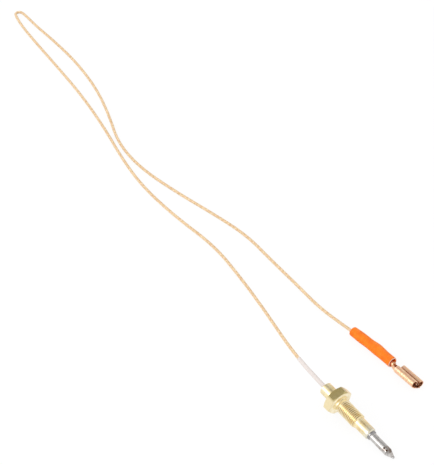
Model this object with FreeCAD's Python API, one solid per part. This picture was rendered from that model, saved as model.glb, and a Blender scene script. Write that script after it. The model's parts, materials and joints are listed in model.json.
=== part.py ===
# Gas hob thermocouple: a brass screw-in head with a steel sensing tip, one braided lead and a
# push-on terminal. Millimetres, +Z up. The part lies on a table at z = 0. The origin is on the
# table under the middle of the head, and +X runs along the head towards the sensing tip.
import FreeCAD, Part

import math
import os

from FreeCAD import Placement, Rotation, Vector

# Brass body, stations measured from its rear end along the head.
BARREL_RADIUS = 2.6
BARREL_LENGTH = 5.1
BARREL_BEVEL = 0.3
HEX_ACROSS_FLATS = 10.0
HEX_LENGTH = 4.1
HEX_FACE_RADIUS = 4.35
HEX_CHAMFER_DEG = 30.0
HEX_ROLL_DEG = 13.0
COLLAR_RADIUS = 3.4
COLLAR_LENGTH = 0.75
RELIEF_RADIUS = 2.5
RELIEF_LENGTH = 0.6
THREAD_RADIUS = 3.0
THREAD_LENGTH = 8.95
THREAD_BEVEL = 0.3
NOSE_RADIUS = 2.45
NOSE_LENGTH = 6.9
NOSE_BEVEL = 0.4
MAIN_BORE_RADIUS = 1.8

# Sensing tip.
SHEATH_RADIUS = 1.6
SHEATH_WALL = 0.4
SHEATH_OUTSIDE = 9.5
SHEATH_GRIP = 4.3
SHEATH_TAIL = 3.0
CONE_LENGTH = 2.6
CONE_TIP_RADIUS = 0.58
DIMPLE_RADIUS = 0.4
DIMPLE_DEPTH = 0.16
DIMPLE_SETBACKS = (1.5, 0.2)
DIMPLE_DEG = 122.0
RING_RADIUS = 1.95
RING_LENGTH = 2.0
RING_OUTSIDE = 0.9
RING_EDGE = 0.2
BEAD_RADIUS = 0.55
BEAD_STANDOUT = 0.3
ROD_RADIUS = 0.45
ROD_INSULATOR_TAIL = 2.5

# Lead, from the copper outwards, and what joins it to the head.
CONDUCTOR_RADIUS = 0.45
WRAP_RADIUS = 0.55
BRAID_RADIUS = 0.675
WRAP_SETBACK = 1.2
BRAID_SETBACK = 1.0
FERRULE_WALL = 0.35
FERRULE_LENGTH = 6.0
SPLICE_GAP = 0.2
SPLICE_INSULATOR_WALL = 0.35
SPLICE_INSULATOR_OVERHANG = 0.6
BUSH_LENGTH = 4.0
BUSH_RECESS = 0.3
HEAT_SLEEVE_RADIUS = 0.875
HEAT_SLEEVE_INSIDE = 4.0
TUBE_CLEARANCE = 0.05

# Terminal, measured back from the mouth of the receptacle, which lies rolled over on one edge.
MOUTH_X = -2.0
MOUTH_Y = 31.95
TERMINAL_YAW_DEG = -2.0
TERMINAL_ROLL_DEG = -27.0
WIRE_HEIGHT = 2.1
BOX_LENGTH = 11.0
BOX_WIDTH = 6.4
BOX_BELOW_WIRE = 1.2
ROLL_RADIUS = 1.4
ROLL_WALL = 0.2
ROLL_END_DEG = 205.0
METAL = 0.3
FLOOR_LIP = 0.5
LOCK_HOLE_RADIUS = 0.8
LOCK_HOLE_SETBACK = 4.5
NECK_LENGTH = 3.0
NECK_REAR_WIDTH = 2.0
NECK_FRONT_WIDTH = 4.0
NECK_WALL_HEIGHT = 1.2
CRIMP_LENGTH = 3.0
CRIMP_RADIUS = 0.95
CRIMP_CLEARANCE = 0.01
CRIMP_SEAM = 0.14
CRIMP_GAP = 0.4
GRIP_LENGTH = 2.4
GRIP_RADIUS = 1.0
STRAND_COUNT = 6
STRAND_TAIL = 0.6

# Sleeve, measured back from its own front end. It lies loose round the crimps, a little askew.
SLEEVE_FRONT_X = -17.25
SLEEVE_FRONT_Y = 32.9
SLEEVE_YAW_DEG = 0.4
SLEEVE_LENGTH = 23.0
SLEEVE_RADIUS = 1.9
SLEEVE_FULL_RADIUS = 2.12
SLEEVE_FULLEST_SETBACK = 9.9
SLEEVE_BORE_RADIUS = 1.55

# Free route of the lead across the table, from the head round the far loop to the terminal.
LEAD_STRAIGHT_BEHIND_HEAD = 8.0
LEAD_STRAIGHT_BEHIND_MOUTH = 28.0
ARC_SHARE = 0.45
LEAD_ROUTE = [
    (-42.3, 1.9, 8.9),
    (-58.0, 7.0, 6.6),
    (-75.0, 12.9, 3.3),
    (-94.0, 18.3, 1.0),
    (-117.0, 22.5, 0.7),
    (-143.0, 21.3, 0.7),
    (-168.0, 22.4, 0.7),
    (-190.0, 26.8, 0.7),
    (-217.0, 34.7, 0.7),
    (-246.0, 41.3, 0.7),
    (-275.0, 45.8, 0.7),
    (-300.0, 49.4, 0.7),
    (-314.0, 51.8, 0.7),
    (-321.5, 53.6, 0.7),
    (-325.0, 54.7, 0.7),
    (-327.0, 55.5, 0.7),
    (-327.8, 56.7, 0.7),
    (-327.5, 58.1, 0.7),
    (-326.3, 58.9, 0.7),
    (-323.5, 58.9, 0.7),
    (-318.5, 58.5, 0.7),
    (-309.0, 57.6, 0.7),
    (-294.0, 57.1, 0.7),
    (-271.0, 55.2, 0.7),
    (-246.0, 50.1, 0.7),
    (-223.5, 42.1, 0.7),
    (-202.5, 32.7, 0.7),
    (-181.0, 29.7, 0.7),
    (-157.0, 31.9, 0.7),
    (-134.0, 35.5, 0.7),
    (-114.5, 37.7, 0.7),
    (-95.0, 35.6, 0.7),
    (-76.0, 33.9, 0.8),
    (-59.5, 31.7, 1.35),
    (-43.5, 32.25, 1.8),
]

X_AXIS = Vector(1, 0, 0)
Y_AXIS = Vector(0, 1, 0)
Z_AXIS = Vector(0, 0, 1)
CENTRE = Vector(0, 0, 0)

# Stations along the head.
HEX_REAR = BARREL_LENGTH
HEX_FRONT = HEX_REAR + HEX_LENGTH
COLLAR_FRONT = HEX_FRONT + COLLAR_LENGTH
THREAD_START = COLLAR_FRONT + RELIEF_LENGTH
THREAD_END = THREAD_START + THREAD_LENGTH
NOSE_END = THREAD_END + NOSE_LENGTH
GRIP_START = NOSE_END - SHEATH_GRIP
SHEATH_REAR = GRIP_START - SHEATH_TAIL
CONE_START = NOSE_END + SHEATH_OUTSIDE
CONE_END = CONE_START + CONE_LENGTH
BEAD_CENTRE = CONE_END + BEAD_STANDOUT
BUSH_FRONT = BUSH_RECESS + BUSH_LENGTH
BRAID_START = BUSH_FRONT + BRAID_SETBACK
FERRULE_START = BRAID_START + WRAP_SETBACK
FERRULE_END = FERRULE_START + FERRULE_LENGTH
CONDUCTOR_START = (FERRULE_START + FERRULE_END - SPLICE_GAP) / 2
ROD_START = CONDUCTOR_START + SPLICE_GAP

HEX_CORNER_RADIUS = HEX_ACROSS_FLATS / 2 / math.cos(math.pi / 6)
HEX_CHAMFER = (HEX_CORNER_RADIUS - HEX_FACE_RADIUS) * math.tan(math.radians(HEX_CHAMFER_DEG))
SHEATH_BORE_RADIUS = SHEATH_RADIUS - SHEATH_WALL

# Stations along the terminal, back from the mouth.
BOX_REAR = -BOX_LENGTH
BOX_FLOOR_HEIGHT = WIRE_HEIGHT - BOX_BELOW_WIRE
CRIMP_FRONT = BOX_REAR - NECK_LENGTH
CRIMP_REAR = CRIMP_FRONT - CRIMP_LENGTH
GRIP_FRONT = CRIMP_REAR - CRIMP_GAP
GRIP_REAR = GRIP_FRONT - GRIP_LENGTH
LEAD_END = CRIMP_REAR - CRIMP_GAP / 2


def head_tilt():
    """Nose-down angle, in degrees, at which the hexagon and the cone's shoulder touch the table."""
    reach = CONE_START - (HEX_FRONT - HEX_CHAMFER)
    hexagon_depth = HEX_CORNER_RADIUS * math.cos(math.radians(30.0 - HEX_ROLL_DEG))
    return math.degrees(math.atan2(hexagon_depth - SHEATH_RADIUS, reach))


def turned(points):
    """A solid turned about the head's axis from (station, radius) points."""
    corners = [Vector(station, radius, 0) for station, radius in points]
    face = Part.Face(Part.makePolygon(corners + corners[:1]))
    return face.revolve(CENTRE, X_AXIS, 360)


def tube(start, end, outer, inner):
    """A tube on the head's axis."""
    return turned([(start, inner), (end, inner), (end, outer), (start, outer)])


def hexagon():
    """The spanner hexagon with its corners chamfered at both ends."""
    corners = []
    for index in range(6):
        angle = math.radians(60 * index + HEX_ROLL_DEG)
        corners.append(
            Vector(HEX_REAR, HEX_CORNER_RADIUS * math.cos(angle), HEX_CORNER_RADIUS * math.sin(angle))
        )
    prism = Part.Face(Part.makePolygon(corners + corners[:1])).extrude(X_AXIS * HEX_LENGTH)
    envelope = turned(
        [
            (HEX_REAR, 0),
            (HEX_REAR, HEX_FACE_RADIUS),
            (HEX_REAR + HEX_CHAMFER, HEX_CORNER_RADIUS),
            (HEX_FRONT - HEX_CHAMFER, HEX_CORNER_RADIUS),
            (HEX_FRONT, HEX_FACE_RADIUS),
            (HEX_FRONT, 0),
        ]
    )
    return prism.common(envelope)


def threaded_body():
    """Brass body: rear barrel, hexagon, collar, relief, thread and smooth nose.

    The thread is a plain cylinder of its major diameter: it has no helical groove.
    """
    spindle = turned(
        [
            (0, 0),
            (0, BARREL_RADIUS - BARREL_BEVEL),
            (BARREL_BEVEL, BARREL_RADIUS),
            (HEX_FRONT, BARREL_RADIUS),
            (HEX_FRONT, COLLAR_RADIUS),
            (COLLAR_FRONT, COLLAR_RADIUS),
            (COLLAR_FRONT, RELIEF_RADIUS),
            (THREAD_START, RELIEF_RADIUS),
            (THREAD_START, THREAD_RADIUS - THREAD_BEVEL),
            (THREAD_START + THREAD_BEVEL, THREAD_RADIUS),
            (THREAD_END - THREAD_BEVEL, THREAD_RADIUS),
            (THREAD_END, THREAD_RADIUS - THREAD_BEVEL),
            (THREAD_END, NOSE_RADIUS),
            (NOSE_END - NOSE_BEVEL, NOSE_RADIUS),
            (NOSE_END, NOSE_RADIUS - NOSE_BEVEL),
            (NOSE_END, 0),
        ]
    )
    ring_seat = NOSE_END - (RING_LENGTH - RING_OUTSIDE)
    bore = turned(
        [
            (0, 0),
            (0, MAIN_BORE_RADIUS),
            (GRIP_START, MAIN_BORE_RADIUS),
            (GRIP_START, SHEATH_RADIUS),
            (ring_seat, SHEATH_RADIUS),
            (ring_seat, RING_RADIUS),
            (NOSE_END, RING_RADIUS),
            (NOSE_END, 0),
        ]
    )
    return spindle.fuse(hexagon()).cut(bore).removeSplitter()


def retaining_ring():
    """Steel ring pressed round the sheath into the mouth of the nose, its front edge rounded."""
    rear = NOSE_END + RING_OUTSIDE - RING_LENGTH
    front = NOSE_END + RING_OUTSIDE
    return turned(
        [
            (rear, SHEATH_RADIUS),
            (rear, RING_RADIUS),
            (front - RING_EDGE, RING_RADIUS),
            (front, RING_RADIUS - RING_EDGE),
            (front, SHEATH_RADIUS),
        ]
    )


def sensor_sheath():
    """Steel sheath tube, drawn to a cone at the tip, with two punch marks by the cone."""
    sheath = turned(
        [
            (SHEATH_REAR, SHEATH_BORE_RADIUS),
            (SHEATH_REAR, SHEATH_RADIUS),
            (CONE_START, SHEATH_RADIUS),
            (CONE_END, CONE_TIP_RADIUS),
            (CONE_END, ROD_RADIUS),
            (CONE_START, SHEATH_BORE_RADIUS),
        ]
    )
    angle = math.radians(DIMPLE_DEG)
    outward = Vector(0, math.cos(angle), math.sin(angle))
    for setback in DIMPLE_SETBACKS:
        floor = Vector(CONE_START - setback, 0, 0) + outward * (SHEATH_RADIUS - DIMPLE_DEPTH)
        sheath = sheath.cut(Part.makeCylinder(DIMPLE_RADIUS, SHEATH_RADIUS, floor, outward))
    return sheath


def junction_bead():
    """Welded hot junction: a round bead that closes the sheath's tip over the rod's end."""
    ball = Part.makeSphere(BEAD_RADIUS, Vector(BEAD_CENTRE, 0, 0))
    size = 2 * BEAD_RADIUS
    behind = Part.makeBox(size, 2 * size, 2 * size, Vector(CONE_END - size, -size, -size))
    return ball.cut(behind)


def constantan_rod():
    """Second thermoelement: a constantan rod from the bead back into the splice."""
    return turned([(ROD_START, 0), (ROD_START, ROD_RADIUS), (CONE_END, ROD_RADIUS), (CONE_END, 0)])


def rod_insulator():
    """Ceramic tube that keeps the rod off the sheath."""
    start = SHEATH_REAR - ROD_INSULATOR_TAIL
    return tube(start, CONE_START, SHEATH_BORE_RADIUS - TUBE_CLEARANCE, ROD_RADIUS + TUBE_CLEARANCE)


def splice_ferrule():
    """Crimped ferrule that joins the copper conductor to the constantan rod."""
    return tube(FERRULE_START, FERRULE_END, CONDUCTOR_RADIUS + FERRULE_WALL, CONDUCTOR_RADIUS)


def splice_insulator():
    """Glass-fibre tube over the ferrule, so that it can't touch the brass body."""
    inner = CONDUCTOR_RADIUS + FERRULE_WALL + TUBE_CLEARANCE
    start = FERRULE_START - SPLICE_INSULATOR_OVERHANG
    end = FERRULE_END + SPLICE_INSULATOR_OVERHANG
    return tube(start, end, inner + SPLICE_INSULATOR_WALL, inner)


def rear_bush():
    """Ceramic bush that closes the rear bore round the heat sleeve."""
    return tube(BUSH_RECESS, BUSH_FRONT, MAIN_BORE_RADIUS, HEAT_SLEEVE_RADIUS)


def head_point(station):
    """A point on the head's axis, in part coordinates."""
    return HEAD_PLACE.multVec(Vector(station, 0, 0))


def terminal_point(station):
    """A point on the axis of the lead inside the terminal, in part coordinates."""
    return TERMINAL_PLACE.multVec(Vector(station, 0, WIRE_HEIGHT))


def lead_edges(head_station, terminal_station):
    """The lead's centreline between two stations: straight runs joined by tangent arcs."""
    corners = [
        head_point(CONDUCTOR_START),
        head_point(-LEAD_STRAIGHT_BEHIND_HEAD),
        *[Vector(*point) for point in LEAD_ROUTE],
        terminal_point(-LEAD_STRAIGHT_BEHIND_MOUTH),
        terminal_point(LEAD_END),
    ]
    edges = []
    radii = []
    here = head_point(head_station)
    for before, corner, after in zip(corners, corners[1:], corners[2:]):
        back = before - corner
        ahead = after - corner
        tangent = ARC_SHARE * min(back.Length, ahead.Length)
        back.normalize()
        ahead.normalize()
        half_turn = (math.pi - back.getAngle(ahead)) / 2
        radius = tangent / math.tan(half_turn)
        inwards = (back + ahead).normalize()
        middle = corner + inwards * (radius / math.cos(half_turn) - radius)
        arc_start = corner + back * tangent
        arc_end = corner + ahead * tangent
        edges.append(Part.LineSegment(here, arc_start).toShape())
        edges.append(Part.Arc(arc_start, middle, arc_end).toShape())
        radii.append(radius)
        here = arc_end
    edges.append(Part.LineSegment(here, terminal_point(terminal_station)).toShape())
    return edges, radii


def swept(edges, radius):
    """A round bar along a chain of edges."""
    start = edges[0].Vertexes[0].Point
    direction = edges[0].Vertexes[1].Point - start
    section = Part.Wire(Part.makeCircle(radius, start, direction))
    return Part.Wire(edges).makePipeShell([section], True, False)


def lead_conductor():
    """Copper core of the lead, from the splice to the crimp."""
    edges, radii = lead_edges(CONDUCTOR_START, LEAD_END)
    print("lead length", round(sum(edge.Length for edge in edges), 1))
    print("lead radii", [round(radius, 1) for radius in radii])
    bar = swept(edges, CONDUCTOR_RADIUS)
    section = math.pi * CONDUCTOR_RADIUS**2
    print("volume", round(bar.Volume, 2), "section x length", round(section * Part.Wire(edges).Length, 2))
    return bar


def lead_wrap():
    """Glass-fibre wrap over the copper."""
    edges, _ = lead_edges(FERRULE_START, LEAD_END)
    return swept(edges, WRAP_RADIUS).cut(swept(edges, CONDUCTOR_RADIUS))


def lead_braid():
    """Woven outer braid of the lead."""
    edges, _ = lead_edges(BRAID_START, LEAD_END)
    return swept(edges, BRAID_RADIUS).cut(swept(edges, WRAP_RADIUS))


def heat_sleeve():
    """White heat-proof sleeve over the lead where it leaves the head: two runs and their arc."""
    edges = lead_edges(HEAT_SLEEVE_INSIDE, LEAD_END)[0][:3]
    return swept(edges, HEAT_SLEEVE_RADIUS).cut(swept(edges, BRAID_RADIUS))


def bar_along_terminal(points, start, end):
    """A prism along the terminal from (across, up) points."""
    corners = [Vector(start, across, up) for across, up in points]
    face = Part.Face(Part.makePolygon(corners + corners[:1]))
    return face.extrude(X_AXIS * (end - start))


def ring_along_terminal(start, end, outer, inner, height):
    """A tube along the terminal with its centre at the given height."""
    centre = Vector(start, 0, height)
    length = end - start
    bar = Part.makeCylinder(outer, length, centre, X_AXIS)
    return bar.cut(Part.makeCylinder(inner, length, centre, X_AXIS))


def rolled_edge(side):
    """One rolled side of the receptacle: floor bend, upright wall and a curl that turns in over it."""
    centre_across = BOX_WIDTH / 2 - ROLL_RADIUS
    low = BOX_FLOOR_HEIGHT + ROLL_RADIUS
    high = low + ROLL_WALL

    def at(radius, degrees, height):
        angle = math.radians(degrees)
        across = centre_across + radius * math.cos(angle)
        return Vector(BOX_REAR, side * across, height + radius * math.sin(angle))

    def arc(radius, start, end, height):
        middle = (start + end) / 2
        return Part.Arc(at(radius, start, height), at(radius, middle, height), at(radius, end, height)).toShape()

    outer = ROLL_RADIUS
    inner = ROLL_RADIUS - METAL
    edges = [
        arc(outer, -90, 0, low),
        Part.LineSegment(at(outer, 0, low), at(outer, 0, high)).toShape(),
        arc(outer, 0, ROLL_END_DEG, high),
        Part.LineSegment(at(outer, ROLL_END_DEG, high), at(inner, ROLL_END_DEG, high)).toShape(),
        arc(inner, ROLL_END_DEG, 0, high),
        Part.LineSegment(at(inner, 0, high), at(inner, 0, low)).toShape(),
        arc(inner, 0, -90, low),
        Part.LineSegment(at(inner, -90, low), at(outer, -90, low)).toShape(),
    ]
    return Part.Face(Part.Wire(edges)).extrude(X_AXIS * (BOX_LENGTH - FLOOR_LIP))


def channel(station, width, floor, top):
    """The outline of an upright channel of sheet metal across the terminal."""
    half = width / 2
    points = [
        (-half, floor),
        (half, floor),
        (half, top),
        (half - METAL, top),
        (half - METAL, floor + METAL),
        (METAL - half, floor + METAL),
        (METAL - half, top),
        (-half, top),
    ]
    corners = [Vector(station, across, up) for across, up in points]
    return Part.makePolygon(corners + corners[:1])


def receptacle():
    """Push-on receptacle bent from one copper-alloy strip, with its wire and braid crimps."""
    half_floor = BOX_WIDTH / 2 - ROLL_RADIUS
    floor_top = BOX_FLOOR_HEIGHT + METAL
    floor_corners = [
        (-half_floor, BOX_FLOOR_HEIGHT),
        (half_floor, BOX_FLOOR_HEIGHT),
        (half_floor, floor_top),
        (-half_floor, floor_top),
    ]
    floor = bar_along_terminal(floor_corners, BOX_REAR, 0)
    lock_centre = Vector(-LOCK_HOLE_SETBACK, 0, 0)
    floor = floor.cut(Part.makeCylinder(LOCK_HOLE_RADIUS, 2 * floor_top, lock_centre))
    crimp_floor = WIRE_HEIGHT - CRIMP_RADIUS
    neck = Part.makeLoft(
        [
            channel(CRIMP_FRONT, NECK_REAR_WIDTH, crimp_floor, crimp_floor + NECK_WALL_HEIGHT),
            channel(BOX_REAR, NECK_FRONT_WIDTH, BOX_FLOOR_HEIGHT, BOX_FLOOR_HEIGHT + NECK_WALL_HEIGHT),
        ],
        True,
        True,
    )
    wire_bore = CONDUCTOR_RADIUS + CRIMP_CLEARANCE
    crimp = ring_along_terminal(CRIMP_REAR, CRIMP_FRONT, CRIMP_RADIUS, wire_bore, WIRE_HEIGHT)
    seam_top = WIRE_HEIGHT + CRIMP_RADIUS
    seam_corners = [(-CRIMP_SEAM, seam_top), (0, seam_top - CRIMP_SEAM), (CRIMP_SEAM, seam_top)]
    seam = bar_along_terminal(seam_corners, CRIMP_REAR, CRIMP_FRONT)
    grip = ring_along_terminal(GRIP_REAR, GRIP_FRONT, GRIP_RADIUS, BRAID_RADIUS, WIRE_HEIGHT)
    strip = ring_along_terminal(GRIP_FRONT, CRIMP_REAR, CRIMP_RADIUS, BRAID_RADIUS, WIRE_HEIGHT)
    below = Part.makeBox(CRIMP_GAP, 2 * GRIP_RADIUS, WIRE_HEIGHT, Vector(GRIP_FRONT, -GRIP_RADIUS, 0))
    pieces = [rolled_edge(1), rolled_edge(-1), neck, crimp.cut(seam), grip, strip.common(below)]
    return floor.fuse(pieces).removeSplitter()


def terminal_strands():
    """The copper strands spread in the wire crimp, one in the middle and the rest round it."""
    radius = CONDUCTOR_RADIUS / 3
    places = [(0, 0)]
    for index in range(STRAND_COUNT):
        angle = 2 * math.pi * index / STRAND_COUNT
        places.append((2 * radius * math.cos(angle), 2 * radius * math.sin(angle)))
    length = CRIMP_FRONT + STRAND_TAIL - LEAD_END
    strands = []
    for across, up in places:
        strands.append(Part.makeCylinder(radius, length, Vector(LEAD_END, across, WIRE_HEIGHT + up), X_AXIS))
    return Part.makeCompound(strands)


def terminal_sleeve():
    """Loose insulating sleeve over the crimps, fullest near its middle, free to slide back."""
    front = 0
    rear = -SLEEVE_LENGTH
    fullest = -SLEEVE_FULLEST_SETBACK
    drop = SLEEVE_FULL_RADIUS - SLEEVE_RADIUS

    def at(station, radius):
        return Vector(station, 0, SLEEVE_FULL_RADIUS + radius)

    def halfway(end):
        """Middle of the arc from the fullest station, where it is level, to an end."""
        run = end - fullest
        radius = (run**2 + drop**2) / (2 * drop)
        half_turn = math.asin(run / radius) / 2
        fall = radius * (1 - math.cos(half_turn))
        return at(fullest + radius * math.sin(half_turn), SLEEVE_FULL_RADIUS - fall)

    top = at(fullest, SLEEVE_FULL_RADIUS)
    edges = [
        Part.Arc(at(rear, SLEEVE_RADIUS), halfway(rear), top).toShape(),
        Part.Arc(top, halfway(front), at(front, SLEEVE_RADIUS)).toShape(),
        Part.LineSegment(at(front, SLEEVE_RADIUS), at(front, SLEEVE_BORE_RADIUS)).toShape(),
        Part.LineSegment(at(front, SLEEVE_BORE_RADIUS), at(rear, SLEEVE_BORE_RADIUS)).toShape(),
        Part.LineSegment(at(rear, SLEEVE_BORE_RADIUS), at(rear, SLEEVE_RADIUS)).toShape(),
    ]
    return Part.Face(Part.Wire(edges)).revolve(Vector(0, 0, SLEEVE_FULL_RADIUS), X_AXIS, 360)


HEAD_BUILDERS = [
    threaded_body,
    retaining_ring,
    sensor_sheath,
    junction_bead,
    constantan_rod,
    rod_insulator,
    splice_ferrule,
    splice_insulator,
    rear_bush,
]
LEAD_BUILDERS = [lead_conductor, lead_wrap, lead_braid, heat_sleeve]


def head_placement(shapes):
    """Lays the head nose-down on the table with the middle of its box over the origin."""
    rotation = Rotation(Y_AXIS, head_tilt())
    laid = Part.makeCompound(shapes)
    laid.Placement = Placement(CENTRE, rotation)
    box = laid.optimalBoundingBox()
    return Placement(Vector(-(box.XMin + box.XMax) / 2, 0, -box.ZMin), rotation)


head_shapes = {builder.__name__: builder() for builder in HEAD_BUILDERS}
HEAD_PLACE = head_placement(list(head_shapes.values()))
ROLLED_OVER = Placement(CENTRE, Rotation(X_AXIS, TERMINAL_ROLL_DEG), Vector(0, 0, WIRE_HEIGHT))
TERMINAL_PLACE = Placement(Vector(MOUTH_X, MOUTH_Y, 0), Rotation(Z_AXIS, TERMINAL_YAW_DEG)) * ROLLED_OVER
SLEEVE_PLACE = Placement(Vector(SLEEVE_FRONT_X, SLEEVE_FRONT_Y, 0), Rotation(Z_AXIS, SLEEVE_YAW_DEG))

nodes = {}
for name, shape in head_shapes.items():
    shape.Placement = HEAD_PLACE
    nodes[name] = shape
for builder, place in [
    (receptacle, TERMINAL_PLACE),
    (terminal_strands, TERMINAL_PLACE),
    (terminal_sleeve, SLEEVE_PLACE),
]:
    shape = builder()
    shape.Placement = place
    nodes[builder.__name__] = shape
for builder in LEAD_BUILDERS:
    nodes[builder.__name__] = builder()

os.makedirs("parts", exist_ok=True)
for name, shape in nodes.items():
    shape.exportStep(f"parts/{name}.step")
    box = shape.BoundBox
    print(name, "solids", len(shape.Solids), "valid", shape.isValid(), "volume", round(shape.Volume, 2),
          "x", round(box.XMin, 2), round(box.XMax, 2), "z", round(box.ZMin, 3), round(box.ZMax, 2))
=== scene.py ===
# Gas hob thermocouple: the braided lead, the sleeves, the brass body with its thread, the finish of
# every surface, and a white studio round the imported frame. Metres, +Z up.
import json
import math

import bmesh
import bpy
import numpy as np
from mathutils import Euler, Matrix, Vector, noise


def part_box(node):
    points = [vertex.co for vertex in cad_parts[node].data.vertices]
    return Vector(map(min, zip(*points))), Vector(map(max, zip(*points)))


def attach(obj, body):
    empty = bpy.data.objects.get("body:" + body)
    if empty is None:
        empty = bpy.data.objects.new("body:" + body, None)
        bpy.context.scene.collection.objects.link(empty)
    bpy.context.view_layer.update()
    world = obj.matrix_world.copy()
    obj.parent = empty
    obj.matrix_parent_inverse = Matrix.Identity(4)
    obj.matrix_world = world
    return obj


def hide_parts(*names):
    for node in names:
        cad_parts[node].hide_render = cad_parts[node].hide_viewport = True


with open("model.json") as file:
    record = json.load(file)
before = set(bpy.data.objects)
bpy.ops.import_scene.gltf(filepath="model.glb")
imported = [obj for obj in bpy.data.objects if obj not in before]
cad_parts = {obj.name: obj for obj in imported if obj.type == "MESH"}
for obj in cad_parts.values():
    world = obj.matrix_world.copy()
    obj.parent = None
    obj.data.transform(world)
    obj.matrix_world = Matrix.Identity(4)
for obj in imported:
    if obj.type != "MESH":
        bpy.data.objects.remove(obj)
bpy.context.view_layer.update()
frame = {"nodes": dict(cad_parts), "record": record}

MM = 0.001

# Camera, placed as a photographer would place it over the table.
CAMERA_TARGET = Vector((-0.1242, 0.0294, 0.0))
CAMERA_AZIMUTH = math.radians(52.4)
CAMERA_ELEVATION = math.radians(39.0)
CAMERA_DISTANCE = 0.694
CAMERA_LENS_MM = 125.8
CAMERA_SENSOR_MM = 36.0
CAMERA_CLIP_START = 0.01

# Studio: how pale the table is as a surface and as seen, and how bright the world is as light.
FLOOR_SIZE = 8.0
TABLE_GREY = 0.8
SEEN_FLOOR_GREY = 0.11
SEEN_FLOOR_GLOW = 0.90
WORLD_LIGHT = 0.92

# Stations on the head and the terminal, as in the CAD source.
THREAD_MID_STATION = 15.025 * MM
LEAD_START_STATION = 9.4 * MM
WRAP_START_STATION = 6.5 * MM
BRAID_START_STATION = 5.3 * MM
HEXAGON = (5.1 * MM, 9.2 * MM)
BRASS_LENGTH = 26.4 * MM
CONE_STATION = 35.9 * MM
HEAT_SLEEVE_STATION = 4.0 * MM
HEAT_SLEEVE_LENGTH = 21.0 * MM
LEAD_END_STATION = -17.1 * MM
TERMINAL_ROLL = math.radians(-27.0)
WIRE_ABOVE_SLOT = 0.5458 * MM

# Thread M6 x 0.75, and the core that the CAD mesh is cut down to under it. Faces that the cut leaves
# smaller than the collapsed area, in square metres, are dropped.
THREAD = (10.55 * MM, 19.5 * MM)
THREAD_RADIUS = 3.0 * MM
THREAD_PITCH = 0.75 * MM
THREAD_DEPTH = 0.6134 * THREAD_PITCH
THREAD_CREST = THREAD_PITCH / 8
THREAD_ROOT = THREAD_PITCH / 6
THREAD_BEVEL = 0.3 * MM
THREAD_AROUND = 72
THREAD_RINGS_A_PITCH = 16
THREAD_SHARP_ANGLE = math.radians(35.0)
THREAD_CORE_RADIUS = 2.5 * MM
THREAD_INSIDE_RADIUS = THREAD_CORE_RADIUS - 0.2 * MM
THREAD_CUT_SLACK = 0.01 * MM
COLLAPSED_AREA = 1e-14

# Where a finish or a painted shade changes, each from where there is none of it to where it is full: the
# painted shade on the hexagon's flats, the painted shade in the thread's roots, the sheath's stains, its
# punch marks (burnt, with painted shade in their dimples) and soot, and the painted shade in the receptacle's
# slit.
HEX_FLAT_RADII = (4.86 * MM, 4.96 * MM)
TOP_FLAT_SHADE_HEIGHTS = (3.2 * MM, 4.2 * MM)
HEX_FLAT_RISE = (HEXAGON[0], HEXAGON[0] + 0.15 * MM)
HEX_FLAT_FALL = (HEXAGON[1], HEXAGON[1] - 0.15 * MM)
ROOT_SHADE_RADII = (2.9 * MM, 2.66 * MM)
ROOT_SHADE_RISE = (THREAD[0], THREAD[0] + 0.2 * MM)
ROOT_SHADE_FALL = (THREAD[1], THREAD[1] - 0.05 * MM)
STAIN_STATIONS = (CONE_STATION - 8.0 * MM, CONE_STATION - 5.0 * MM)
MARK_RADII = (1.575 * MM, 1.54 * MM)
MARK_RISE = (CONE_STATION - 2.2 * MM, CONE_STATION - 2.1 * MM)
MARK_FALL = (CONE_STATION + 0.25 * MM, CONE_STATION + 0.1 * MM)
SOOT_RISE = (CONE_STATION - 0.1 * MM, CONE_STATION + 0.3 * MM)
SOOT_FALL = (CONE_STATION + 1.4 * MM, CONE_STATION + 1.0 * MM)
SLIT_MIDDLE = 0.2 * MM
SLIT_OFF_MIDDLE = (0.6 * MM, 0.4 * MM)
SLIT_STATIONS = (-11.2 * MM, -10.9 * MM)

# Lead.
BRAID_RADIUS = 0.675 * MM
WRAP_RADIUS = 0.55 * MM
WRAP_AROUND = 12
CONDUCTOR_RADIUS = 0.45 * MM
CONDUCTOR_AROUND = 10
HEAT_SLEEVE_RADIUS = 0.875 * MM
HEAT_SLEEVE_TAPER = 0.06
HEAT_SLEEVE_AROUND = 24
ROUTE_READ_POINTS = 32
LEAD_BEHIND_HEAD = -8.0 * MM
LEAD_BEHIND_MOUTH = -28.0 * MM
LEAD_ROUTE = [
    (-0.0423, 0.0019, 0.0089),
    (-0.058, 0.007, 0.0066),
    (-0.075, 0.0129, 0.0033),
    (-0.094, 0.0183, 0.001),
    (-0.117, 0.0225, 0.0007),
    (-0.143, 0.0213, 0.0007),
    (-0.168, 0.0224, 0.0007),
    (-0.19, 0.0268, 0.0007),
    (-0.217, 0.0347, 0.0007),
    (-0.246, 0.0413, 0.0007),
    (-0.275, 0.0458, 0.0007),
    (-0.3, 0.0494, 0.0007),
    (-0.314, 0.0518, 0.0007),
    (-0.3215, 0.0536, 0.0007),
    (-0.325, 0.0547, 0.0007),
    (-0.327, 0.0555, 0.0007),
    (-0.3278, 0.0567, 0.0007),
    (-0.3275, 0.0581, 0.0007),
    (-0.3263, 0.0589, 0.0007),
    (-0.3235, 0.0589, 0.0007),
    (-0.3185, 0.0585, 0.0007),
    (-0.309, 0.0576, 0.0007),
    (-0.294, 0.0571, 0.0007),
    (-0.271, 0.0552, 0.0007),
    (-0.246, 0.0501, 0.0007),
    (-0.2235, 0.0421, 0.0007),
    (-0.2025, 0.0327, 0.0007),
    (-0.181, 0.0297, 0.0007),
    (-0.157, 0.0319, 0.0007),
    (-0.134, 0.0355, 0.0007),
    (-0.1145, 0.0377, 0.0007),
    (-0.095, 0.0356, 0.0007),
    (-0.076, 0.0339, 0.0008),
    (-0.0595, 0.0317, 0.00135),
    (-0.0435, 0.03225, 0.0018),
]

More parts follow.
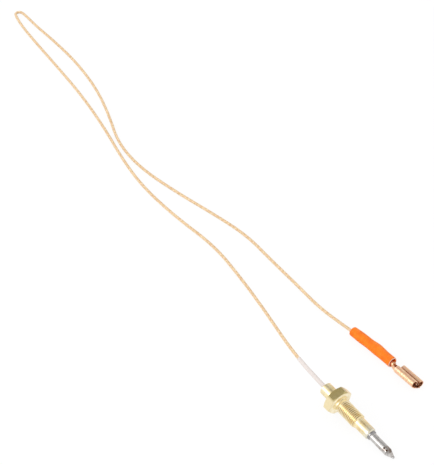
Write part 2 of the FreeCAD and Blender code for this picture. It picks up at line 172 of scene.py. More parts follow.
# Orange sleeve: (setback from its front, outer radius, bow sideways) in millimetres, its bore, its
# rounded lips, how much of the smooth slope it keeps at each of those setbacks, and its lumps.
SLEEVE_SHAPE = [
    (0.0, 2.14, -0.12),
    (4.0, 2.12, 0.0),
    (9.0, 2.27, 0.22),
    (14.0, 2.1, 0.1),
    (18.0, 2.15, 0.0),
    (23.0, 1.97, -0.18),
]
SLEEVE_LENGTH = SLEEVE_SHAPE[-1][0] * MM
SLEEVE_BORE_RADIUS = 1.6 * MM
SLEEVE_LIP = 0.12 * MM
SLEEVE_RINGS = 93
SLEEVE_AROUND = 64
SLEEVE_TENSION = 0.8
SLEEVE_LUMP_HEIGHT = 0.05 * MM
SLEEVE_LUMP_LENGTH = 4.5 * MM
SLEEVE_LUMPS_AROUND = 0.9
SLEEVE_LUMPS_INSIDE = 0.3
SLEEVE_ABOVE_FLOOR = 0.01 * MM

# Where the sleeve's cut is paler: at its front, at its rear, and on the wall but not in the bore.
SLEEVE_CUT_FRONT = (-0.22 * MM, -0.02 * MM)
SLEEVE_CUT_REAR = (0.15 * MM - SLEEVE_LENGTH, -SLEEVE_LENGTH)
SLEEVE_CUT_RADII = (SLEEVE_BORE_RADIUS - 0.02 * MM, SLEEVE_BORE_RADIUS + 0.06 * MM)

# Braid: eight flat yarns each way, each over two and under two. A yarn's section is in shares of its
# width and thickness. Its wave is steeper than a cosine and cut off, so it lies flat between crossings.
YARNS_EACH_WAY = 8
BRAID_PITCH = 9.6 * MM
YARN_WIDTH = 0.47 * MM
YARN_THICKNESS = 0.11 * MM
YARN_SECTION = [(-0.5, -0.1), (-0.27, 0.42), (0.27, 0.42), (0.5, -0.1), (0.0, -0.5)]
YARN_RISE = 0.03 * MM
YARN_WAVE = 1.5
YARN_STEP = 0.3 * MM

# The yarns' bake map: rows for each yarn, and where the yarns' two ends lie in them.
YARN_UV_ROWS = 8
YARN_UV_ENDS = (0.3, 0.7)
YARN_UV_END_SIZE = 0.3

# A Mix node's sockets for colours, by number, because their names repeat.
MIX_SHARE, MIX_FIRST, MIX_SECOND, MIX_RESULT = 0, 6, 7, 2


def named(rows, name):
    """The record's row of that name."""
    return next(row for row in rows if row["name"] == name)


def mount(name):
    """A mount's place and unit axis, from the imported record."""
    found = named(frame["record"]["mounts"], name)
    return Vector(found["pos_m"]), Vector(found["axis"]).normalized()


THREAD_PLACE, HEAD_AXIS = mount("thread")
HEAD_REAR = THREAD_PLACE - HEAD_AXIS * THREAD_MID_STATION
HEAD_TILT = math.asin(-HEAD_AXIS.z)
MOUTH_PLACE, TERMINAL_AXIS = mount("tab_slot")
TERMINAL_YAW = math.atan2(TERMINAL_AXIS.y, TERMINAL_AXIS.x)
TERMINAL_TURN = Euler((TERMINAL_ROLL, 0.0, TERMINAL_YAW))
WIRE_AT_MOUTH = MOUTH_PLACE + TERMINAL_TURN.to_matrix() @ Vector((0.0, 0.0, WIRE_ABOVE_SLOT))
SLIDE = named(frame["record"]["behaviour"]["joints"], "sleeve_slide")
SLEEVE_AXIS = -Vector(SLIDE["axis"]).normalized()
SLEEVE_YAW = math.atan2(SLEEVE_AXIS.y, SLEEVE_AXIS.x)
SLEEVE_MIDDLE = (Vector(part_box("terminal_sleeve")[0]) + Vector(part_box("terminal_sleeve")[1])) / 2
SLEEVE_FRONT = SLEEVE_MIDDLE + SLEEVE_AXIS * SLEEVE_SHAPE[-1][0] * MM / 2


def head_point(station):
    """A point on the head's axis."""
    return HEAD_REAR + HEAD_AXIS * station


def terminal_point(station):
    """A point on the wire's axis in the terminal; the station is from its mouth, negative behind it."""
    return WIRE_AT_MOUTH + TERMINAL_AXIS * station


class Surface:
    """A Principled material, and short calls for the nodes that pattern it."""

    def __init__(self, name, **sockets):
        self.material = bpy.data.materials.new(name)
        self.material.use_nodes = True
        self.tree = self.material.node_tree
        self.shader = self.tree.nodes["Principled BSDF"]
        for socket, value in sockets.items():
            self.shader.inputs[socket.replace("_", " ")].default_value = value

    def node(self, kind, inputs, **settings):
        """A new node; an input given a socket is linked to it, any other value is set."""
        made = self.tree.nodes.new("ShaderNode" + kind)
        for name, value in settings.items():
            setattr(made, name, value)
        for socket, value in inputs.items():
            if isinstance(value, bpy.types.NodeSocket):
                self.tree.links.new(value, made.inputs[socket])
            else:
                made.inputs[socket].default_value = value
        return made

    def place(self, origin=(0, 0, 0), turn=(0, 0, 0), scale=(1, 1, 1)):
        """Object coordinates, read in a local frame of that origin, turn and unit size."""
        coordinates = self.node("TexCoord", {}).outputs["Object"]
        inputs = {"Vector": coordinates, "Location": origin, "Rotation": turn, "Scale": scale}
        return self.node("Mapping", inputs, vector_type="TEXTURE").outputs["Vector"]

    def axes(self, place):
        """The X, Y and Z of coordinates."""
        return self.node("SeparateXYZ", {"Vector": place}).outputs

    def noise(self, place, scale, detail=2.0, roughness=0.5):
        """Noise, mostly between 0.3 and 0.7; scale is in cells per unit of the place."""
        inputs = {"Vector": place, "Scale": scale, "Detail": detail, "Roughness": roughness}
        return self.node("TexNoise", inputs).outputs["Fac"]

    def ramp(self, value, stops):
        """A colour ramp of (position, colour) stops."""
        made = self.node("ValToRGB", {"Fac": value})
        elements = made.color_ramp.elements
        while len(elements) < len(stops):
            elements.new(0.5)
        for element, (position, colour) in zip(elements, stops):
            element.position = position
            element.color = (*colour, 1.0)
        return made.outputs["Color"]

    def mix(self, share, first, second, mode="MIX"):
        """Two colours mixed; either may be a socket or three numbers."""
        inputs = {MIX_SHARE: share}
        for index, colour in ((MIX_FIRST, first), (MIX_SECOND, second)):
            inputs[index] = colour if isinstance(colour, bpy.types.NodeSocket) else (*colour, 1.0)
        return self.node("Mix", inputs, data_type="RGBA", blend_type=mode).outputs[MIX_RESULT]

    def span(self, value, low, high, to_low=0.0, to_high=1.0):
        """A value carried from one range to another, and held at its ends."""
        inputs = {"Value": value, "From Min": low, "From Max": high, "To Min": to_low, "To Max": to_high}
        return self.node("MapRange", inputs).outputs["Result"]

    def maths(self, operation, first, second=0.0):
        """An operation on one or two values; each may be a socket or a number."""
        return self.node("Math", {0: first, 1: second}, operation=operation).outputs[0]

    def both(self, first, second):
        """Two shares multiplied."""
        return self.maths("MULTIPLY", first, second)

    def band(self, value, rise, fall):
        """A share that is full between two limits; rise and fall go from where it is 0 to where it is 1."""
        return self.both(self.span(value, *rise), self.span(value, *fall))

    def bump(self, height, distance, strength=1.0):
        """A normal bumped by a height, of that depth in metres."""
        inputs = {"Height": height, "Distance": distance, "Strength": strength}
        return self.node("Bump", inputs).outputs["Normal"]

    def finish(self, colour, roughness=None, normal=None):
        """Links what is given to the shader, and returns the material."""
        for socket, value in (("Base Color", colour), ("Roughness", roughness), ("Normal", normal)):
            if value is not None:
                self.tree.links.new(value, self.shader.inputs[socket])
        return self.material


def linear(red, green, blue):
    """A colour of 0 to 255 display values, as the linear numbers that a shader takes."""
    return tuple(((value / 255 + 0.055) / 1.055) ** 2.4 for value in (red, green, blue))


def darker(tone, share):
    """That share of a colour."""
    return tuple(share * value for value in tone)


def head_place(surface, scale=(1, 1, 1)):
    """Coordinates on the head: X is the station from its rear end."""
    return surface.place(HEAD_REAR, (0.0, HEAD_TILT, 0.0), scale)


def terminal_place(surface):
    """Coordinates on the terminal: X is the station from its mouth, Y across, Z away from its floor."""
    return surface.place(WIRE_AT_MOUTH, TERMINAL_TURN)


def sleeve_place(surface):
    """Coordinates on the orange sleeve: X is the station from its front, behind it negative."""
    return surface.place(SLEEVE_FRONT, (0.0, 0.0, SLEEVE_YAW))


def along_and_across(surface, place):
    """The X of a local frame, and the distance from its X axis."""
    parts = surface.axes(place)
    squares = [surface.maths("MULTIPLY", parts[axis], parts[axis]) for axis in ("Y", "Z")]
    return parts["X"], surface.maths("SQRT", surface.maths("ADD", *squares))


def brass():
    """Turned brass: palest round its collar, greyer at its nose, painted shade in the thread's roots, and
    painted shade on the hexagon's top flat, paler on its lower flats.
    """
    surface = Surface("brass", Metallic=1.0)
    place = head_place(surface)
    station, radius = along_and_across(surface, place)
    lines = surface.noise(head_place(surface, (0.00006, 0.02, 0.02)), scale=1.0, detail=3.0)
    blotches = surface.noise(place, scale=420.0, detail=4.0, roughness=0.6)
    colour = surface.ramp(
        surface.span(station, 0.0, BRASS_LENGTH),
        [
            (0.0, linear(250, 238, 200)),
            (0.19, linear(248, 232, 184)),
            (0.34, linear(254, 244, 214)),
            (0.40, linear(254, 244, 214)),
            (0.74, linear(254, 240, 200)),
            (0.80, linear(250, 230, 184)),
            (0.92, linear(246, 234, 200)),
            (1.0, linear(232, 230, 218)),
        ],
    )
    handled = surface.span(blotches, 0.62, 0.3, 0.0, 0.7)
    colour = surface.mix(handled, colour, linear(222, 202, 160), "MULTIPLY")
    flats = surface.both(surface.span(radius, *HEX_FLAT_RADII), surface.band(station, HEX_FLAT_RISE, HEX_FLAT_FALL))
    # Painted shade on the hexagon: its top flat darker and its lower flats paler, by height.
    height = surface.axes(place)["Z"]
    painted_top_flat_shade = surface.mix(surface.span(height, *TOP_FLAT_SHADE_HEIGHTS), linear(242, 226, 184), linear(182, 164, 104))
    colour = surface.mix(surface.both(flats, 0.85), colour, painted_top_flat_shade)
    # Painted shade in the thread's roots, its share varied by the blotch noise.
    roots = surface.both(surface.span(radius, *ROOT_SHADE_RADII), surface.band(station, ROOT_SHADE_RISE, ROOT_SHADE_FALL))
    painted_root_shade = surface.both(roots, surface.span(blotches, 0.35, 0.6, 0.05, 0.5))
    colour = surface.mix(painted_root_shade, colour, linear(150, 112, 62))
    roughness = surface.span(lines, 0.3, 0.7, 0.18, 0.32)
    roughness = surface.maths("ADD", roughness, surface.both(flats, 0.1))
    return surface.finish(colour, roughness, surface.bump(lines, 0.01 * MM, 0.6))


def steel(name, tone, rough):
    """Drawn steel: lines along it, faint clouds, heat stains, punch marks darkened by burning and by painted
    shade in their dimples, soot on its cone's base.
    """
    surface = Surface(name, Metallic=1.0)
    place = head_place(surface)
    station, radius = along_and_across(surface, place)
    clouds = surface.noise(place, scale=600.0, detail=4.0, roughness=0.6)
    colour = surface.ramp(clouds, [(0.3, darker(tone, 0.72)), (0.65, tone)])
    stains = surface.noise(place, scale=330.0, detail=3.0, roughness=0.6)
    heat = surface.both(surface.span(stains, 0.50, 0.62), surface.span(station, *STAIN_STATIONS, 0.0, 0.8))
    colour = surface.mix(heat, colour, linear(132, 112, 98))
    # The punch marks darkened: burnt marks, and painted shade where the surface sinks into the dimples.
    burn_and_dimple_shade = surface.both(surface.span(radius, *MARK_RADII), surface.band(station, MARK_RISE, MARK_FALL))
    colour = surface.mix(burn_and_dimple_shade, colour, linear(84, 62, 48))
    cone_base = surface.band(station, SOOT_RISE, SOOT_FALL)
    soot = surface.both(cone_base, surface.span(clouds, 0.62, 0.46, 0.1, 0.5))
    colour = surface.mix(soot, colour, linear(74, 64, 56))
    lines = surface.noise(head_place(surface, (0.01, 0.0001, 0.0001)), scale=1.0)
    roughness = surface.span(lines, 0.3, 0.7, rough, rough + 0.12)
    return surface.finish(colour, roughness, surface.bump(lines, 0.004 * MM))


def plain_fibre(name, tone):
    """A pale mineral or glass-fibre surface with a fine thread texture."""
    surface = Surface(name, Roughness=0.7)
    threads = surface.noise(surface.place(), scale=5000.0)
    colour = surface.ramp(threads, [(0.35, darker(tone, 0.8)), (0.65, tone)])
    return surface.finish(colour, None, surface.bump(threads, 0.02 * MM))


def copper(name):
    """Bare copper with faint drawing marks."""
    surface = Surface(name, Metallic=1.0, Roughness=0.3)
    spots = surface.noise(surface.place(), scale=1500.0, detail=3.0)
    return surface.finish(surface.ramp(spots, [(0.3, linear(170, 96, 62)), (0.7, linear(224, 148, 108))]))


def receptacle_metal():
    """Stamped copper alloy, bright, mottled by handling, and painted shade in the slit between its rolled
    edges.
    """
    surface = Surface("receptacle_metal", Metallic=1.0)
    place = terminal_place(surface)
    spots = surface.noise(place, scale=900.0, detail=4.0, roughness=0.65)
    patches = surface.noise(place, scale=380.0)
    colour = surface.ramp(
        spots,
        [(0.32, linear(228, 170, 134)), (0.5, linear(248, 204, 166)), (0.7, linear(254, 222, 178))],
    )
    colour = surface.mix(surface.span(patches, 0.50, 0.62, 0.0, 0.6), colour, linear(246, 194, 170))
    parts = surface.axes(place)
    # Painted shade in the slit between the rolled edges, near the mouth.
    off_middle = surface.maths("ABSOLUTE", surface.maths("SUBTRACT", parts["Y"], SLIT_MIDDLE))
    near_mouth = surface.span(parts["X"], *SLIT_STATIONS)
    slit = surface.both(surface.span(off_middle, *SLIT_OFF_MIDDLE), near_mouth)
    colour = surface.mix(surface.both(slit, 0.85), colour, linear(138, 80, 52))
    roughness = surface.span(spots, 0.3, 0.7, 0.44, 0.3)
    return surface.finish(colour, roughness, surface.bump(spots, 0.02 * MM, 0.5))


def braid_yarn():
    """Glass-fibre yarn: its colour is the yarn's own, broken up along it, with fine filaments."""
    surface = Surface("braid_yarn", Roughness=0.62)
    own = surface.node("Attribute", {}, attribute_name="yarn_colour").outputs["Color"]
    breaks = surface.noise(surface.place(), scale=900.0, detail=3.0)
    dark = surface.mix(0.5, own, linear(218, 184, 148), "MULTIPLY")
    colour = surface.mix(surface.span(breaks, 0.62, 0.35), own, dark)
    filaments = surface.noise(surface.place(), scale=9000.0)
    return surface.finish(colour, None, surface.bump(filaments, 0.015 * MM))


def sleeve_orange():
    """Soft orange tube: satin, faintly cloudy, paler where it was cut off."""
    surface = Surface("sleeve_orange", Roughness=0.5, Specular_IOR_Level=0.22)
    place = sleeve_place(surface)
    station, radius = along_and_across(surface, place)
    clouds = surface.noise(place, scale=350.0, detail=4.0, roughness=0.6)
    colour = surface.ramp(
        clouds,
        [(0.3, linear(244, 114, 6)), (0.5, linear(254, 126, 10)), (0.7, linear(255, 140, 24))],
    )
    front = surface.span(station, *SLEEVE_CUT_FRONT)
    rear = surface.span(station, *SLEEVE_CUT_REAR)
    ends = surface.maths("MAXIMUM", front, rear)
    cut = surface.both(ends, surface.span(radius, *SLEEVE_CUT_RADII))
    colour = surface.mix(surface.both(cut, 0.9), colour, linear(250, 218, 196))
    fine = surface.noise(place, scale=2600.0, detail=3.0)
    return surface.finish(colour, None, surface.bump(fine, 0.02 * MM, 0.5))


def placed(name, data):
    """A new object in the scene, at the origin."""
    made = bpy.data.objects.new(name, data)
    bpy.context.scene.collection.objects.link(made)
    return made


def piece(name, points, faces, material, body="thermocouple"):
    """A smooth mesh piece, made at its place, that rides on a body."""
    mesh = bpy.data.meshes.new(name)
    mesh.from_pydata([tuple(point) for point in points], [], [tuple(face) for face in faces])
    mesh.update()
    mesh.shade_smooth()
    mesh.materials.append(material)
    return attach(placed(name, mesh), body)


def route_line(step):
    """The lead's line: points read from its NURBS spline, evenly spaced, and their places along it."""
    corners = [head_point(LEAD_START_STATION), head_point(LEAD_BEHIND_HEAD)]
    corners += [Vector(point) for point in LEAD_ROUTE]
    corners += [terminal_point(LEAD_BEHIND_MOUTH), terminal_point(LEAD_END_STATION)]
    curve = bpy.data.curves.new("route", "CURVE")
    curve.dimensions = "3D"
    spline = curve.splines.new("NURBS")
    spline.points.add(len(corners) - 1)
    for point, corner in zip(spline.points, corners):
        point.co = (*corner, 1.0)
    spline.order_u = 3
    spline.use_endpoint_u = True
    spline.resolution_u = ROUTE_READ_POINTS
    carrier = placed("route", curve)
    bpy.context.view_layer.update()
    mesh = bpy.data.meshes.new_from_object(carrier)
    read = np.array([vertex.co for vertex in mesh.vertices])
    bpy.data.objects.remove(carrier)
    bpy.data.curves.remove(curve)
    bpy.data.meshes.remove(mesh)
    lengths = np.concatenate([[0.0], np.cumsum(np.linalg.norm(np.diff(read, axis=0), axis=1))])
    even = np.linspace(0.0, lengths[-1], int(round(lengths[-1] / step)) + 1)
    return np.stack([np.interp(even, lengths, read[:, axis]) for axis in range(3)], axis=1), even


def frames_along(line):
    """Tangents, and two normals carried along the line without twist."""
    tangents = np.gradient(line, axis=0)
    tangents /= np.linalg.norm(tangents, axis=1)[:, None]
    first = np.zeros_like(line)
    normal = np.cross(tangents[0], (0.0, 1.0, 0.0))
    for index, tangent in enumerate(tangents):
        normal = normal - tangent * (normal @ tangent)
        normal /= np.linalg.norm(normal)
        first[index] = normal
    return tangents, first, np.cross(tangents, first)


def capped_faces(rings, around):
    """Quads between closed rings of points, with a cap on each end ring."""
    ring = np.arange(rings - 1)[:, None] * around
    side = np.arange(around)[None, :]
    after = (side + 1) % around
    quads = np.stack([ring + side, ring + after, ring + around + after, ring + around + side], axis=-1)
    last = (rings - 1) * around
    caps = [list(range(around))[::-1], [last + index for index in range(around)]]
    return quads.reshape(-1, 4).tolist() + caps


def looped_faces(rings, around, flipped=False):
    """Quads between closed rings of points, the last ring joined back to the first."""
    faces = []
    for row in range(rings):
        here = row * around
        below = (row + 1) % rings * around
        for index in range(around):
            after = (index + 1) % around
            sides = (here + after, below + after, below + index)
            faces.append((here + index, *(sides[::-1] if flipped else sides)))
    return faces


def lead_tube(name, line, radii, around, material):
    """A closed tube along a line, with one radius or a radius at each point."""
    tangents, first, second = frames_along(line)
    angles = np.linspace(0.0, math.tau, around, endpoint=False)
    spread = first[:, None] * np.cos(angles)[None, :, None] + second[:, None] * np.sin(angles)[None, :, None]
    points = line[:, None] + spread * np.broadcast_to(radii, len(line))[:, None, None]
    return piece(name, points.reshape(-1, 3), capped_faces(len(line), around), material)


def lay_out_yarns(mesh, rings, around):
    """The yarns' UV map for baking: each is laid in rows, side by side, at one scale."""
    layer = mesh.uv_layers.new(name="OFBake")
    in_row = math.ceil((rings - 1) / YARN_UV_ROWS)
    height = 1.0 / (YARNS_EACH_WAY * YARN_UV_ROWS)
    lane = height / (around + 1)
    size = YARN_UV_END_SIZE * lane
    corners = []
    for yarn in range(YARNS_EACH_WAY):
        for ring in range(rings - 1):
            row, step = divmod(ring, in_row)
            left, right = step / in_row, (step + 1) / in_row
            for side in range(around):
                low = (yarn * YARN_UV_ROWS + row) * height + (side + 0.5) * lane
                corners += [(left, low), (left, low + lane), (right, low + lane), (right, low)]
        for middle in YARN_UV_ENDS:
            for index in range(around):
                angle = math.tau * index / around
                up = (yarn * YARN_UV_ROWS + 1) * height + size * math.sin(angle)
                corners.append((middle + size * math.cos(angle), up))
    layer.uv.foreach_set("vector", np.array(corners, dtype=np.float32).ravel())


def yarns(name, line, places, turn, colours, material):
    """The braid's yarns that wind one way: turn is 1 or -1."""
    tangents, first, second = frames_along(line)
    slant = math.atan2(math.tau * BRAID_RADIUS, BRAID_PITCH)
    middle = BRAID_RADIUS - YARN_THICKNESS / 2 - YARN_RISE
    crossings = places / BRAID_PITCH * 2 * YARNS_EACH_WAY
    points, faces, tints = [], [], []
    for yarn in range(YARNS_EACH_WAY):
        wave = np.cos(math.pi / 2 * (crossings - 0.5 * turn) + math.pi * yarn) * turn
        radius = middle + YARN_RISE * np.clip(YARN_WAVE * wave, -1.0, 1.0)
        angle = turn * math.tau * places / BRAID_PITCH + math.tau * yarn / YARNS_EACH_WAY
        start = sum(len(part) for part in points)
        rings = []
        for aside, up in YARN_SECTION:
            sideways = aside * YARN_WIDTH
            rise = radius + up * YARN_THICKNESS - sideways**2 / (2 * BRAID_RADIUS)
            at = angle + sideways * math.cos(slant) / BRAID_RADIUS
            outward = first * np.cos(at)[:, None] + second * np.sin(at)[:, None]
            slide = -turn * sideways * math.sin(slant)
            rings.append(line + outward * rise[:, None] + tangents * slide)
        points.append(np.stack(rings, axis=1).reshape(-1, 3))
        own = capped_faces(len(line), len(YARN_SECTION))
        faces += [[start + index for index in face] for face in own]
        tints.append(np.tile((*colours[yarn], 1.0), (len(points[-1]), 1)))
    made = piece(name, np.concatenate(points), faces, material)
    layer = made.data.color_attributes.new("yarn_colour", "FLOAT_COLOR", "POINT")
    layer.data.foreach_set("color", np.concatenate(tints).astype(np.float32).ravel())
    lay_out_yarns(made.data, len(line), len(YARN_SECTION))
    return made


def lead(line, places):
    """The lead from the splice to the crimp: copper, wrap and braid, each from its own start.

    The plain tubes take every second point of the line.
    """
    braid_from = int((LEAD_START_STATION - BRAID_START_STATION) / YARN_STEP)
    wrap_from = int((LEAD_START_STATION - WRAP_START_STATION) / YARN_STEP)
    braided = line[braid_from:]
    cream, orange = linear(248, 224, 190), linear(245, 211, 165)
    pink, ochre = linear(246, 216, 184), linear(240, 216, 164)
    material = braid_yarn()
    forward = yarns(
        "lead_braid_right", braided, places[braid_from:], 1, [cream, orange, cream, ochre] * 2, material
    )
    backward = yarns(
        "lead_braid_left", braided, places[braid_from:], -1, [pink, ochre, cream, orange] * 2, material
    )
    glass = plain_fibre("glass_fibre", linear(232, 214, 188))
    wrap = lead_tube("lead_wrap_tube", line[wrap_from::2], WRAP_RADIUS, WRAP_AROUND, glass)
    copper_finish = copper("conductor_copper")
    core = lead_tube("lead_core", line[::2], CONDUCTOR_RADIUS, CONDUCTOR_AROUND, copper_finish)
    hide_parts("lead_braid")
    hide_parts("lead_wrap")
    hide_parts("lead_conductor")
    return forward, backward, wrap, core, braided


def heat_sleeve(line, places):
    """White sleeve over the lead behind the head, a little narrower towards its rear end."""
    start = LEAD_START_STATION - HEAT_SLEEVE_STATION
    keep = (places >= start) & (places <= start + HEAT_SLEEVE_LENGTH)
    along = (places[keep] - start) / HEAT_SLEEVE_LENGTH
    radii = HEAT_SLEEVE_RADIUS * (1.0 - HEAT_SLEEVE_TAPER * along)
    white = plain_fibre("heat_sleeve_white", linear(240, 230, 225))
    made = lead_tube("heat_sleeve_tube", line[keep], radii, HEAT_SLEEVE_AROUND, white)
    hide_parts("heat_sleeve")
    return made


def sleeve_profile():
    """Stations along the orange sleeve, with its outer radius and its bow sideways at each."""
    setbacks, radii, bows = (np.array(column) * MM for column in zip(*SLEEVE_SHAPE))
    stations = np.linspace(0.0, SLEEVE_LENGTH, SLEEVE_RINGS)
    knot = np.clip(np.searchsorted(setbacks, stations, side="right") - 1, 0, len(setbacks) - 2)
    gap = setbacks[knot + 1] - setbacks[knot]
    share = (stations - setbacks[knot]) / gap

    def eased(values):
        slopes = np.gradient(values, setbacks) * SLEEVE_TENSION
        rise = share**2 * (3 - 2 * share)
        leave = share * (1 - share) ** 2 * gap * slopes[knot]
        arrive = share**2 * (1 - share) * gap * slopes[knot + 1]
        return values[knot] * (1 - rise) + values[knot + 1] * rise + leave - arrive

    return stations, eased(radii), eased(bows)


def lip_rounding(station):
    """How far the sleeve's wall draws back from its surface at a station, to round its cut edges."""
    near = min(station, SLEEVE_LENGTH - station)
    if near >= SLEEVE_LIP:
        return 0.0
    return SLEEVE_LIP - math.sqrt(SLEEVE_LIP**2 - (SLEEVE_LIP - near) ** 2)


def sleeve_ring(station, outward, sideways, lumpy):
    """One ring of the orange sleeve's points, lumpy by a share and never below the floor."""
    side = Vector((-SLEEVE_AXIS.y, SLEEVE_AXIS.x, 0.0))
    points = []
    for index in range(SLEEVE_AROUND):
        angle = math.tau * index / SLEEVE_AROUND
        level, rise = math.cos(angle), math.sin(angle)
        where = (station / SLEEVE_LUMP_LENGTH, level * SLEEVE_LUMPS_AROUND, rise * SLEEVE_LUMPS_AROUND)
        reach = outward + lumpy * noise.noise(Vector(where)) * SLEEVE_LUMP_HEIGHT
        point = SLEEVE_FRONT - SLEEVE_AXIS * station + side * (sideways + reach * level)
        point.z = max(SLEEVE_FRONT.z + reach * rise, SLEEVE_ABOVE_FLOOR)
        points.append(point)
    return points


def orange_sleeve():
    """The loose orange sleeve: an uneven soft tube, open at both ends, a little bowed, its edges rounded."""
    stations, radius, bow = sleeve_profile()
    points = []
    for station, outward, sideways in zip(stations, radius, bow):
        points += sleeve_ring(station, outward - lip_rounding(station), sideways, 1.0)
    for station, sideways in zip(stations[::-1], bow[::-1]):
        bore = SLEEVE_BORE_RADIUS + lip_rounding(station)
        points += sleeve_ring(station, bore, sideways, SLEEVE_LUMPS_INSIDE)
    faces = looped_faces(len(points) // SLEEVE_AROUND, SLEEVE_AROUND, flipped=True)
    made = piece("orange_sleeve", points, faces, sleeve_orange(), "sleeve")
    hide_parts("terminal_sleeve")
    return made


def thread_reach(station, angle):
    """The thread's radius at a station and an angle: a right-handed helix, bevelled at both ends."""
    from_crest = abs((station / THREAD_PITCH - angle / math.tau) % 1.0 - 0.5) * THREAD_PITCH
    flank = (THREAD_PITCH - THREAD_CREST - THREAD_ROOT) / 2
    reach = THREAD_RADIUS - THREAD_DEPTH * np.clip((from_crest - THREAD_CREST / 2) / flank, 0.0, 1.0)
    bevel = THREAD_RADIUS - THREAD_BEVEL + min(station - THREAD[0], THREAD[1] - station)
    return min(reach, max(bevel, THREAD_RADIUS - THREAD_BEVEL))


def brass_core(material):
    """The brass body: a copy of the CAD mesh, its plain thread cut down to a core."""
    mesh = frame["nodes"]["threaded_body"].data.copy()
    work = bmesh.new()
    work.from_mesh(mesh)
    for vertex in work.verts:
        station = (vertex.co - HEAD_REAR).dot(HEAD_AXIS)
        outward = vertex.co - head_point(station)
        in_thread = THREAD[0] - THREAD_CUT_SLACK < station < THREAD[1] + THREAD_CUT_SLACK
        if in_thread and outward.length > THREAD_CORE_RADIUS:
            vertex.co = head_point(station) + outward.normalized() * THREAD_CORE_RADIUS
    collapsed = [face for face in work.faces if face.calc_area() < COLLAPSED_AREA]
    bmesh.ops.delete(work, geom=collapsed, context="FACES")
    work.to_mesh(mesh)
    work.free()
    mesh.materials.clear()
    mesh.materials.append(material)
    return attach(placed("brass_body", mesh), "thermocouple")


def brass_thread(material):
    """The helical thread: a closed ring of geometry whose inner wall lies inside the core."""
    side = Vector((0.0, 1.0, 0.0))
    up = HEAD_AXIS.cross(side)
    angles = [math.tau * index / THREAD_AROUND for index in range(THREAD_AROUND)]
    outwards = [side * math.cos(angle) + up * math.sin(angle) for angle in angles]
    steps = round((THREAD[1] - THREAD[0]) / THREAD_PITCH * THREAD_RINGS_A_PITCH)
    points = []
    for station in np.linspace(*THREAD, 1 + steps):
        points += [
            head_point(station) + outward * thread_reach(station, angle)
            for angle, outward in zip(angles, outwards)
        ]
    for station in (THREAD[1], THREAD[0]):
        points += [head_point(station) + outward * THREAD_INSIDE_RADIUS for outward in outwards]
    faces = looped_faces(len(points) // THREAD_AROUND, THREAD_AROUND)
    made = piece("brass_thread", points, faces, material)
    made.data.set_sharp_from_angle(angle=THREAD_SHARP_ANGLE)
    return made


def brass_body():
    """The brass core and its thread, in place of the CAD body with its plain thread."""
    material = brass()
    body = brass_core(material)
    thread = brass_thread(material)
    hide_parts("threaded_body")


def finish_node(node, material):
    """Gives a CAD node its material."""
    made = frame["nodes"][node]
    made.data.materials.clear()
    made.data.materials.append(material)


def paint_nodes():
    """Every CAD node that stays gets its finish."""
    ceramic = plain_fibre("ceramic", linear(236, 230, 220))
    finish_node("retaining_ring", steel("ring_steel", linear(168, 166, 166), 0.22))
    finish_node("sensor_sheath", steel("sheath_steel", linear(210, 207, 204), 0.16))
    finish_node("junction_bead", steel("bead_metal", linear(228, 228, 228), 0.3))
    finish_node("constantan_rod", steel("constantan", linear(190, 180, 164), 0.3))
    finish_node("splice_ferrule", copper("ferrule_brass"))
    finish_node("terminal_strands", copper("strand_copper"))
    for node in ("rod_insulator", "rear_bush", "splice_insulator"):
        finish_node(node, ceramic)
    finish_node("receptacle", receptacle_metal())


def add_camera():
    """The camera, looking at its target from the photograph's side."""
    camera = placed("camera", bpy.data.cameras.new("camera"))
    level = math.cos(CAMERA_ELEVATION)
    back = Vector(
        (level * math.sin(CAMERA_AZIMUTH), -level * math.cos(CAMERA_AZIMUTH), math.sin(CAMERA_ELEVATION))
    )
    camera.location = CAMERA_TARGET + back * CAMERA_DISTANCE
    camera.rotation_euler = (-back).to_track_quat("-Z", "Y").to_euler()
    camera.data.lens = CAMERA_LENS_MM
    camera.data.sensor_width = CAMERA_SENSOR_MM
    camera.data.clip_start = CAMERA_CLIP_START
    bpy.context.scene.camera = camera


def bare_tree(owner):
    """The node tree of a material or world, emptied."""
    owner.use_nodes = True
    owner.node_tree.nodes.clear()
    return owner.node_tree


def shader(tree, kind, grey=1.0):
    """A new shader node of that grey."""
    made = tree.nodes.new("ShaderNode" + kind)
    made.inputs["Color"].default_value = (grey, grey, grey, 1.0)
    return made


def background_share(tree):
    """1 for rays that should see the white background: camera, glossy and transmission."""
    path = tree.nodes.new("ShaderNodeLightPath")
    total = path.outputs["Is Camera Ray"]
    for name in ("Is Glossy Ray", "Is Transmission Ray"):
        either = tree.nodes.new("ShaderNodeMath")
        either.operation = "MAXIMUM"
        tree.links.new(total, either.inputs[0])
        tree.links.new(path.outputs[name], either.inputs[1])
        total = either.outputs[0]
    return total


def output_by_ray(tree, kind, as_light, as_seen):
    """The output of that kind: one shader for rays that see the background, another for the rest."""
    output = tree.nodes.new("ShaderNodeOutput" + kind)
    choice = tree.nodes.new("ShaderNodeMixShader")
    tree.links.new(background_share(tree), choice.inputs[0])
    tree.links.new(as_light.outputs[0], choice.inputs[1])
    tree.links.new(as_seen.outputs[0], choice.inputs[2])
    tree.links.new(choice.outputs[0], output.inputs["Surface"])


def rectangle(name, width, height, material):
    """A flat rectangle round the origin, facing up."""
    x, y = width / 2, height / 2
    mesh = bpy.data.meshes.new(name)
    mesh.from_pydata([(-x, -y, 0), (x, -y, 0), (x, y, 0), (-x, y, 0)], [], [(0, 1, 2, 3)])
    mesh.materials.append(material)
    return placed(name, mesh)


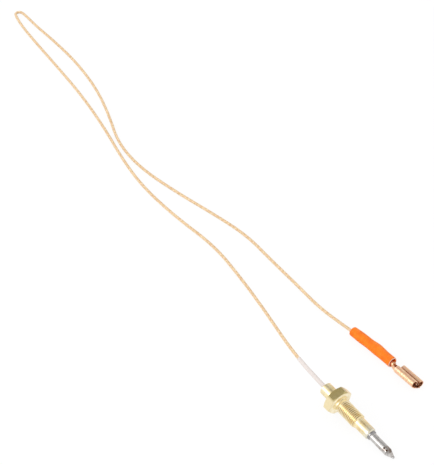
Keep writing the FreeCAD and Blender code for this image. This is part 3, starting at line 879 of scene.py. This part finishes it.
def add_floor():
    """A white table top that keeps a faint shadow."""
    material = bpy.data.materials.new("table_white")
    tree = bare_tree(material)
    white = shader(tree, "Emission")
    white.inputs["Strength"].default_value = SEEN_FLOOR_GLOW
    seen = tree.nodes.new("ShaderNodeAddShader")
    tree.links.new(white.outputs[0], seen.inputs[0])
    tree.links.new(shader(tree, "BsdfDiffuse", SEEN_FLOOR_GREY).outputs[0], seen.inputs[1])
    output_by_ray(tree, "Material", shader(tree, "BsdfDiffuse", TABLE_GREY), seen)
    rectangle("floor", FLOOR_SIZE, FLOOR_SIZE, material)


def add_world():
    """White to the camera and in reflections, softer as light."""
    world = bpy.data.worlds.new("studio")
    bpy.context.scene.world = world
    tree = bare_tree(world)
    light = shader(tree, "Background")
    light.inputs["Strength"].default_value = WORLD_LIGHT
    output_by_ray(tree, "World", light, shader(tree, "Background"))


def aim(thing, direction, distance):
    """Puts a lamp or a card at that direction and distance from the origin, facing it."""
    away = Vector(direction).normalized()
    thing.location = away * distance
    thing.rotation_euler = away.to_track_quat("Z", "Y").to_euler()


def add_lamp(name, direction, distance, width, height, watts):
    """A soft rectangular lamp."""
    lamp = bpy.data.lights.new(name, "AREA")
    lamp.shape = "RECTANGLE"
    lamp.size = width
    lamp.size_y = height
    lamp.energy = watts
    aim(placed(name, lamp), direction, distance)


def add_card(name, direction, distance, width, height, grey):
    """A grey card that only reflections see, as a photographer sets beside shiny metal."""
    material = bpy.data.materials.new(name)
    tree = bare_tree(material)
    output = tree.nodes.new("ShaderNodeOutputMaterial")
    tree.links.new(shader(tree, "Emission", grey).outputs[0], output.inputs["Surface"])
    card = rectangle(name, width, height, material)
    aim(card, direction, distance)
    card.visible_camera = False
    card.visible_diffuse = False
    card.visible_shadow = False
    card.visible_transmission = False


def add_studio():
    """Camera, table, world, one lamp and two cards."""
    add_camera()
    add_floor()
    add_world()
    add_lamp("key_lamp", (-0.35, -0.80, 0.50), distance=0.9, width=0.7, height=0.5, watts=2.2)
    add_card("side_card", (-0.42, 0.60, 0.68), distance=1.2, width=1.7, height=1.5, grey=0.76)
    add_card("top_card", (-0.40, 0.12, 0.91), distance=0.8, width=0.5, height=0.34, grey=0.40)
    bpy.context.scene.view_settings.view_transform = "Standard"


add_studio()
paint_nodes()
brass_body()
line, places = route_line(YARN_STEP)
right, left, wrap, core, braided = lead(line, places)
white_sleeve = heat_sleeve(line, places)
loose_sleeve = orange_sleeve()
